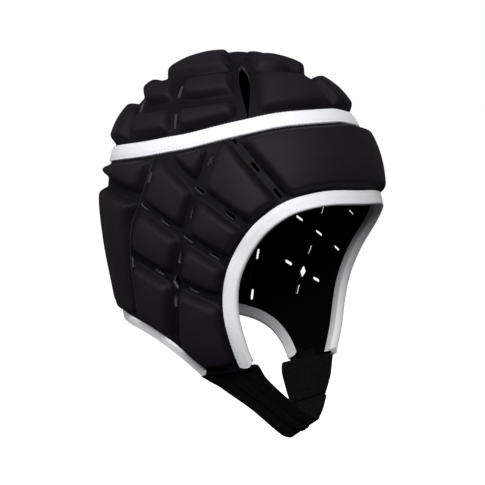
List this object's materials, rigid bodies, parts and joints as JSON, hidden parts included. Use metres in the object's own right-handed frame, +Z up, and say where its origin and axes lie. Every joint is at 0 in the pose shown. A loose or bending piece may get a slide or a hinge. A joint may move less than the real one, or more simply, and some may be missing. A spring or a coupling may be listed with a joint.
{
  "type": "rugby scrum cap",
  "caption": "Padded soft head guard with vented foam panels, taped edges and a chin strap.",
  "frame": {"origin": "where the top of the wearer's head touches the inside of the crown", "axes": "+Z up, -Y towards the cap's front, +X towards the wearer's left"},
  "size_m": [0.1742, 0.2042, 0.269],
  "materials": {
    "padded_fabric": "matt stretch fabric over foam",
    "white_tape": "fine knitted tape",
    "strap_fabric": "brushed loop fabric"
  },
  "bodies": {
    "root": {"forehead_panel": "padded_fabric", "side_panel_left": "padded_fabric", "side_panel_right": "padded_fabric", "nape_panel": "padded_fabric", "crown_front_panel": "padded_fabric", "crown_rear_panel": "padded_fabric", "crown_band": "white_tape", "face_binding": "white_tape", "neck_binding": "white_tape", "chin_strap": "strap_fabric", "strap_anchor_left": "strap_fabric"}
  },
  "joints": []
}
